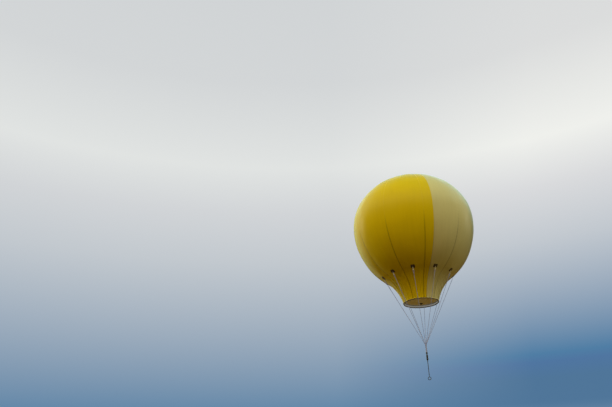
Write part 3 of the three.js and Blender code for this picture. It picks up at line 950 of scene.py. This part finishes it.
# A patch: its base, a flap over the strap's sewn end, two rows of stitches round it and one round the flap.
def addPatch(number, azimuth):
    load = loadSet
    thick, width, height = load["patchThickness"], load["patchWidth"], load["patchHeight"]
    flapWidth, flapHeight, low = load["flapWidth"], load["flapHeight"], load["flapLow"]
    outward = np.array([math.cos(azimuth), math.sin(azimuth), -1.0])
    aside, above, ring = roundedRectangle(width, height, 25, 25)
    lift = thick * (1 - 0.85 * easedShare(ring, 0.93, 1.0))
    base = skinPart(onSkin(azimuth, aside, above, lift), thick + 0.001, outward)
    aside, above, ring = roundedRectangle(flapWidth, flapHeight, 19, 29)
    over = 1 - easedShare(np.abs(aside), load["strapWidth"] * 0.52, load["strapWidth"] * 0.85)
    over = over * (1 - easedShare(above, flapHeight * 0.22, flapHeight * 0.46))
    edge = 1 - 0.6 * easedShare(ring, 0.9, 1.0) * (above > -flapHeight * 0.3)
    lift = thick + (0.0024 + 0.0058 * over) * edge
    above = above + flapHeight / 2 + low
    flap = skinPart(onSkin(azimuth, aside, above, lift), 0.0018, outward)
    addPiece(f"load_patch_{number}_sewn", [base, flap], "patch", f"load_patch_{number}")
    rows = []
    angle = np.linspace(0, 2 * math.pi, 200)
    for inset in (0.013, 0.023):
        aside = (width - inset) / 2 * signedPower(np.cos(angle), 2 / load["corner"])
        above = (height - inset) / 2 * signedPower(np.sin(angle), 2 / load["corner"])
        rows.append(stitchesOnSkin(azimuth, aside, above, thick + 0.0002))
    aside = (flapWidth / 2 - 0.006) * np.array([-1, -1, 1, 1])
    above = low + np.array([0.006, flapHeight - 0.006, flapHeight - 0.006, 0.006])
    rows.append(stitchesOnSkin(azimuth, aside, above, thick + 0.0026))
    return rows


# The strap's middle line in the load point's plane: down the patch under the flap, a bend out, then the
# rope's way.
def strapLine(azimuth):
    onPatch = skinPoint(np.full(14, azimuth), loadRun - np.linspace(0.060, 0.014, 14), loadSet["strapLift"])
    sewn = np.column_stack([np.hypot(onPatch[:, 0], onPatch[:, 1]), onPatch[:, 2]])
    start, end = sewn[-1], seat + ropeWay * 0.075
    first, second = start + unit(sewn[-1] - sewn[-2]) * 0.026, end - ropeWay * 0.026
    share = np.linspace(0, 1, 20)[1:, None]
    bend = (1 - share) ** 3 * start + 3 * share * (1 - share) ** 2 * first
    bend = bend + 3 * share ** 2 * (1 - share) * second + share ** 3 * end
    straight = seat + ropeWay * np.linspace(0.078, loadSet["loopPlace"], 20)[:, None]
    return evenPath(np.concatenate([sewn, bend, straight]), loadSet["strapStep"])


# The strap: webbing that goes down one side of the middle line, round the rope's eye and up the other
# side. The two layers lie close and part towards the loop. It returns its stitches.
def addStrap(number, azimuth, line):
    length = runningLength(line)
    ahead = unit(np.gradient(line, axis=0))
    out = np.column_stack([-ahead[:, 1], ahead[:, 0]])
    close, loop = loadSet["strapThickness"] * 0.62, loadSet["loopRadius"]
    part = out * (close + (loop - close) * (1 - easedShare(length[-1] - length, 0.0, 0.048)))[:, None]
    angle = np.linspace(0, math.pi, 12)[1:-1, None]
    turn = line[-1] + loop * (np.cos(angle) * out[-1] + np.sin(angle) * ahead[-1])
    path = inPlane(np.concatenate([line + part, turn, (line - part)[::-1][:-2]]), azimuth)
    half, thin = loadSet["strapWidth"] / 2, loadSet["strapThickness"] / 2
    section = np.array([(1, 0), (0.95, 1), (0, 1), (-0.95, 1), (-1, 0), (-0.95, -1), (0, -1), (0.95, -1)])
    strap = tubePart(swept(evenPath(path, loadSet["strapStep"]), section * [half, thin], sideOf(azimuth)))
    addPiece(f"load_strap_{number}_webbing", [strap], "webbing", f"load_strap_{number}")
    return strapStitches(azimuth, line, out, close + thin + 0.0001)


# The sleeve: patch cloth round the strap, a little wider and thicker, from where it leaves the patch.
def sleevePart(azimuth, line):
    length = runningLength(line)
    reach = line[(length > loadSet["sleeveFrom"]) & (length < loadSet["sleeveTo"])]
    angle = onceRound(24)
    half = (loadSet["strapWidth"] / 2 + 0.004) * signedPower(np.cos(angle), 0.5)
    thick = 0.0046 * signedPower(np.sin(angle), 0.7)
    count = np.arange(len(reach))
    ends = 1 - 0.3 * np.exp(-np.minimum(count, count[::-1]) / 0.8)
    section = np.stack(np.broadcast_arrays(half, thick * ends[:, None]), -1)
    return tubePart(swept(inPlane(reach, azimuth), section, sideOf(azimuth)))


# A box of stitches with a cross in it, on both faces of the strap, just below the patch.
def strapStitches(azimuth, line, out, lift):
    length = runningLength(line)
    low, high, half = length[-1] - 0.094, length[-1] - 0.056, loadSet["strapWidth"] / 2 - 0.005
    corners = np.array([(low, -half), (low, half), (high, half), (high, -half), (low, -half), (high, half),
                        (high, -half), (low, half)])
    spots = evenPath(corners, 0.0056)
    middle = (spots[1:] + spots[:-1]) / 2

    def place(spot, rise):
        flat = np.column_stack([np.interp(spot[:, 0], length, column) for column in (line + out * rise).T])
        return inPlane(flat, azimuth, spot[:, 1])

    parts = []
    for rise in (lift, -lift):
        centres = place(middle, rise)
        ahead = place(spots[1:], rise) - place(spots[:-1], rise)
        parts.append(scatteredPart(stitchShape(0.0046), centres, ahead, centres - place(middle, 0.0)))
    return parts


# The rope: an eye through the strap's loop and the rope down to the bundle, with twine wound over the
# throat. The eye's upper half is a superellipse; below it both legs ease in to lie side by side there.
def addRope(number, azimuth):
    half, eye, throat = loadSet["eyeHalfWidth"], loadSet["eyeRadius"], loadSet["throat"]
    top = loadSet["loopPlace"] - 0.001
    shoulder = top + loadSet["eyeRound"]
    angle = np.linspace(-math.pi / 2, math.pi / 2, 60)
    aside = half * signedPower(np.sin(angle), 2 / 3)
    down = shoulder - loadSet["eyeRound"] * np.abs(np.cos(angle)) ** (2 / 3)
    leg = np.linspace(0, 1, 24)[1:]
    legAside = eye + (half - eye) * (1 - easedShare(leg, 0, 1))
    legDown = shoulder + (throat + 0.012 - shoulder) * leg
    aside = np.concatenate([-legAside[::-1], aside, legAside])
    down = np.concatenate([legDown[::-1], down, legDown])
    path = evenPath(inPlane(seat + ropeWay * down[:, None], azimuth, aside), 0.0040)
    run = ropeLine(azimuth, throat, ropeLength - 0.004, loadSet["ropeStep"])
    parts = [plaitPart(path, eye, inPlane(np.array([ropeWay[1], -ropeWay[0]]), azimuth)),
             plaitPart(run, loadSet["ropeRadius"], sideOf(azimuth))]
    addPiece(f"bridle_rope_{number}_plaited", parts, "rope", f"bridle_rope_{number}")
    wound = ropeLine(azimuth, throat - 0.004, throat - 0.004 + loadSet["whipping"], 0.0005)
    return whippingPart(wound, 0.0105, 0.0010, sideOf(azimuth))


def addLoadPoints():
    patchRows, strapRows, sleeves, windings = [], [], [], []
    for number, azimuth in enumerate(loadAzimuths, 1):
        line = strapLine(azimuth)
        patchRows += addPatch(number, azimuth)
        strapRows += addStrap(number, azimuth, line)
        sleeves.append(sleevePart(azimuth, line))
        windings.append(addRope(number, azimuth))
    addPiece("patch_stitching", patchRows, "darkThread")
    addPiece("strap_stitching", strapRows, "paleThread")
    addPiece("strap_sleeves", sleeves, "patch")
    addPiece("rope_whippings", windings, "paleThread")


addLoadPoints()
print("load points and bridle are made")


# Gather, swivel and tether. The profiles are radii and heights from the level below them.

collectorSet = {
    "top": -5.300, "level": -5.405,
    "profile": [(0.002, 0), (0.030, 0), (0.030, 0.008), (0.014, 0.014), (0.014, 0.026),
                (0.034, 0.044), (0.034, 0.058), (0.032, 0.060), (0.032, 0.064), (0.034, 0.066),
                (0.034, 0.089), (0.030, 0.102), (0.002, 0.102)],
}
swivelSet = {
    "barrelLevel": -5.505, "stemLevel": -5.618,
    "outside": [(0.013, 0), (0.030, 0), (0.036, 0.020), (0.036, 0.032), (0.034, 0.034), (0.034, 0.0557),
                (0.036, 0.0577), (0.036, 0.0757), (0.030, 0.0997), (0.024, 0.0997)],
    "inside": [(0.024, 0.012), (0.011, 0.012), (0.011, 0.002)],
    "stem": [(0.002, 0), (0.0145, 0), (0.0145, 0.003), (0.013, 0.005), (0.0145, 0.008), (0.014, 0.012),
             (0.022, 0.018), (0.032, 0.028), (0.038, 0.044), (0.038, 0.080), (0.032, 0.096), (0.022, 0.106),
             (0.009, 0.106), (0.009, 0.1253), (0.021, 0.1253), (0.021, 0.1433), (0.002, 0.1433)],
}
tetherSet = {"radius": 0.012, "ringCentre": -6.282, "ringRadius": 0.066, "stock": 0.022, "eyeRope": 0.0062,
             "weld": 0.07, "weldPlace": 2.2}


# The ropes' lower ends: each runs on from its rope, bends in to a smaller circle and down with a slow
# twist, and all ten are lashed together in three places.
def addRopeBundle():
    bundle = bundleSet
    top, bottom, strand = bundle["top"], collectorSet["top"] - 0.004, bundle["ropeRadius"]
    depth = np.arange(-0.004, top - bottom, 0.005)
    spread = bundle["ropeCircle"] - bundle["innerCircle"]
    slope = ropeWay[0] / ropeWay[1]
    radius = bundle["innerCircle"] + spread * np.exp(-np.maximum(depth, 0) * slope / spread)
    radius = radius - np.minimum(depth, 0) * slope
    twist = bundle["twist"] * easedShare(depth, 0.02, top - bottom)
    parts = [plaitPart(aroundAxis(radius, azimuth + twist, top - depth), strand, sideOf(azimuth))
             for azimuth in loadAzimuths]
    core = [(0.002, bottom), (bundle["core"], bottom), (bundle["core"], top - 0.030), (0.002, top - 0.022)]
    parts.append(tubePart(turnedGrid(rounded(core, 0.002), 24)))
    addPiece("rope_bundle_plaited", parts, "rope", "rope_bundle")
    windings = [axisWhipping(top - first, top - last, 0.0010, wide, 0.0018)
                for first, last, wide in bundle["lashings"]]
    addPiece("bundle_lashings", windings, "paleThread")


# The collector is a turned socket for the bundle over a narrow throat and a foot. The barrel is a closed
# profile turned about the axis, with a bore for the stem's head. The stem turns in it and ends in a bead.
def addTurnedMetal():
    body = tubePart(turnedGrid(rounded(collectorSet["profile"], 0.0022), 96, collectorSet["level"]))
    addPiece("bridle_collector_turned", [body], "blackMetal", "bridle_collector")
    profile = np.concatenate([rounded(swivelSet["outside"], 0.0022), swivelSet["inside"]])
    barrel = ringPart(np.swapaxes(turnedGrid(profile, 96, swivelSet["barrelLevel"]), 0, 1))
    addPiece("swivel_barrel_turned", [barrel], "blackMetal", "swivel_barrel")
    stem = tubePart(turnedGrid(rounded(swivelSet["stem"], 0.005), 96, swivelSet["stemLevel"]))
    addPiece("swivel_stem_turned", [stem], "blackMetal", "swivel_stem", "tether")


# The tether line: a plaited rope, and below its throat two laid legs that pass under the ring's top and meet.
def addTetherLine():
    eyeRope, halfStock = tetherSet["eyeRope"], tetherSet["stock"] / 2
    top = swivelSet["stemLevel"] + 0.012
    ringTop = tetherSet["ringCentre"] + tetherSet["ringRadius"]
    throat = ringTop + 0.060
    height = np.arange(top, throat, -0.0035)
    parts = [plaitPart(aroundAxis(0.0, 0.0, height), tetherSet["radius"], rightward, 24, 4, 1.5)]
    stockMiddle = ringTop - halfStock
    reach = halfStock + eyeRope + 0.0006
    turn = np.linspace(-math.pi / 2, math.pi / 2, 24)
    under = np.column_stack([0 * turn, reach * np.sin(turn), stockMiddle - reach * np.cos(turn)])
    leg = np.linspace(0, 1, 20)[1:, None]
    aside = eyeRope + (reach - eyeRope) * (1 - easedShare(leg, 0.1, 1.0))
    right = np.hstack([0 * leg, aside, stockMiddle + (throat + 0.012 - stockMiddle) * leg])
    left = (right * [1, -1, 1])[::-1]
    parts.append(ropePart(evenPath(np.concatenate([left, under, right]), 0.0030), eyeRope, rightward))
    addPiece("tether_line_plaited", parts, "darkRope", "tether_line", "tether")
    windings = [axisWhipping(throat - 0.006, throat + 0.040, 0.0005, 0.0142, 0.0011),
                axisWhipping(top - 0.050, top - 0.012, 0.0005, 0.0140, 0.0011)]
    addPiece("tether_whippings", windings, "darkThread", body="tether")


# The ring: a circle carried round a circle, a little thicker at its weld.
def addRing():
    turn = onceRound(120)
    half = tetherSet["stock"] / 2
    middle = tetherSet["ringRadius"] - half
    path = np.column_stack([middle * np.sin(turn), 0 * turn, tetherSet["ringCentre"] + middle * np.cos(turn)])
    away = np.abs(np.angle(np.exp(1j * (turn - tetherSet["weldPlace"]))))
    weld = 1 + tetherSet["weld"] * np.exp(-(away / 0.10) ** 2) * (1 + 0.25 * np.sin(70 * turn))
    grid = swept(path, circle(20, half * weld), np.array([0.0, 1.0, 0.0]), closed=True)
    addPiece("tether_ring_steel", [ringPart(grid)], "steel", "tether_ring", "tether")


addRopeBundle()
addTurnedMetal()
addTetherLine()
addRing()
print("swivel and tether are made")


# Stage: floor, backdrop and light

stageSet = {
    "floorLevel": -10.36, "floorRadius": 240.0, "fadeFrom": 40.0, "fadeTo": 200.0, "backdropRadius": 250.0,
    "floorColour": (0.70, 0.64, 0.91), "horizonColour": (0.64, 0.66, 0.68),
    # the sine of the height, from straight down to straight up, and the light's colour from there
    "light": [(-1.0, (0.06, 0.07, 0.025)), (-0.55, (0.09, 0.030, 0.008)), (-0.25, (0.012, 0.010, 0.008)),
              (0.10, (0.010, 0.012, 0.015)), (0.30, (0.010, 0.015, 0.020)), (0.60, (0.62, 1.11, 1.20)),
              (1.0, (0.02, 0.03, 0.04))],
    # azimuth and height in degrees of the middle of each soft light, how narrow it is, and its colour
    "softLights": [(125, 15, 12, (1.10, 1.42, 0.86)), (150, 25, 8, (1.11, 0.70, 0.02)),
                   (-102, 35, 12, (2.24, 1.02, 0.02)), (-102, 75, 4, (0.03, 0.42, 0.32)),
                   (-140, 60, 12, (1.47, 0.78, 0.02)), (-50, 15, 8, (0.29, 0.31, 0.02)),
                   (0, 24, 8, (0.66, 0.34, 0.06)), (78, -40, 12, (0.70, 0.40, 0.02)),
                   (138, 8, 40, (0.40, 0.20, 0.30)),
                   (144.5, 20, 150, (2.4, 2.2, 1.5)), (15.5, 15, 150, (2.8, 2.7, 2.0))],
}

# A pale horizon, a blue strip above it, and grey haze with one brighter band
skySet = {
    # the sine of the height above the horizon, and the colour there
    "stops": [(0.0, stageSet["horizonColour"]), (0.13, (0.12, 0.24, 0.39)), (0.38, (0.54, 0.58, 0.62)),
              (0.46, (0.64, 0.66, 0.68)), (0.53, (0.75, 0.77, 0.76)), (0.65, (0.65, 0.67, 0.68)),
              (1.0, (0.60, 0.63, 0.65))],
    # to the right, between these sines, each colour moves away from the grey by the contrast, though it
    # gets no deeper than the deepest, and only from a little above the horizon up
    "contrast": 1.55, "grey": (0.54, 0.58, 0.61), "deepest": (0.08, 0.18, 0.32),
    "rightward": (0.04, 0.36), "upward": (0.08, 0.13),
}


def stageObject(name, points, faces, material):
    mesh = bpy.data.meshes.new(name)
    mesh.from_pydata(points, [], faces)
    mesh.shade_smooth()
    mesh.materials.append(material)
    made = bpy.data.objects.new(name, mesh)
    scene.collection.objects.link(made)
    made.visible_diffuse = False
    made.visible_glossy = False
    return made


# The floor: a flat disc that turns into the horizon's colour far out.
def addFloor():
    points = aroundAxis(stageSet["floorRadius"], onceRound(96), stageSet["floorLevel"]).tolist()
    shader, place, _, _ = newMaterial("floor_paint")
    distance = shader.vectorSum("LENGTH", {0: place}, "Value")
    far = shader.share(distance, stageSet["fadeFrom"], stageSet["fadeTo"])
    paint = shader.add("BsdfDiffuse", None, {"Color": fourth(stageSet["floorColour"])})
    glow = shader.add("Emission", None, {"Color": fourth(stageSet["horizonColour"])})
    both = shader.add("MixShader", None, {0: far, 1: paint, 2: glow})
    facing = shader.add("NewGeometry", None, None, "Backfacing")
    seen = shader.add("MixShader", None, {0: facing, 1: both, 2: shader.add("BsdfTransparent")})
    shader.add("OutputMaterial", None, {"Surface": seen})
    stageObject("floor", points, [list(range(len(points)))], shader.owner)


# The backdrop: a ball round the stage. Its colour is that of the height above the horizon; towards the
# right it is the grey plus the contrast times the colour's distance from the grey.
def addBackdrop():
    down = np.radians(np.linspace(2, 178, 60))
    profile = stageSet["backdropRadius"] * np.column_stack([np.sin(down), np.cos(down)])
    part = tubePart(turnedGrid(profile, 96, stageSet["floorLevel"]))
    shader, place, _, _ = newMaterial("backdrop_paint")
    ray = shader.vectorSum("SUBTRACT", {0: place, 1: (0.0, 0.0, stageSet["floorLevel"])})
    aside, _, height = shader.split(shader.vectorSum("NORMALIZE", {0: ray}))
    plain = shader.add("ValToRGB", {"stops": skySet["stops"]}, {0: height})
    away = shader.vectorSum("SUBTRACT", {0: plain, 1: skySet["grey"]})
    strong = shader.vectorSum("MULTIPLY_ADD", {0: away, 1: [skySet["contrast"]] * 3, 2: skySet["grey"]})
    strong = shader.vectorSum("MAXIMUM", {0: strong, 1: skySet["deepest"]})
    share = shader.share(aside, *skySet["rightward"]) * shader.share(height, *skySet["upward"])
    glow = shader.add("Emission", None, {"Color": shader.mixed(share, plain, strong)})
    shader.add("OutputMaterial", None, {"Surface": glow})
    faces = part["quads"].tolist() + part["triangles"].tolist()
    stageObject("backdrop", part["points"].tolist(), faces, shader.owner).visible_shadow = False


# The light: a soft glow that changes with the height it comes from, plus soft lights. Each of those is
# its colour times a power of the cosine of the angle from its middle.
def addLight():
    scene.world = bpy.data.worlds.new("soft_light")
    shader = Shader(scene.world)
    ray = shader.add("TexCoord", outlet="Generated")
    stops = [((sine + 1) / 2, colour) for sine, colour in stageSet["light"]]
    light = shader.add("ValToRGB", {"stops": stops}, {0: shader.split(ray)[2] * 0.5 + 0.5})
    for azimuth, lift, narrowness, colour in stageSet["softLights"]:
        azimuth, lift = math.radians(azimuth), math.radians(lift)
        way = (math.cos(azimuth) * math.cos(lift), math.sin(azimuth) * math.cos(lift), math.sin(lift))
        near = shader.vectorSum("DOT_PRODUCT", {0: ray, 1: way}, "Value")
        strength = shader.sum("MAXIMUM", near, 0.0) ** float(narrowness)
        part = shader.vectorSum("SCALE", {0: colour, "Scale": strength})
        light = shader.vectorSum("ADD", {0: light, 1: part})
    glow = shader.add("Background", None, {"Color": light, "Strength": 1.0})
    shader.add("OutputWorld", None, {"Surface": glow})
    scene.view_settings.view_transform = "Standard"


addFloor()
addBackdrop()
addLight()
print("stage and light are set")
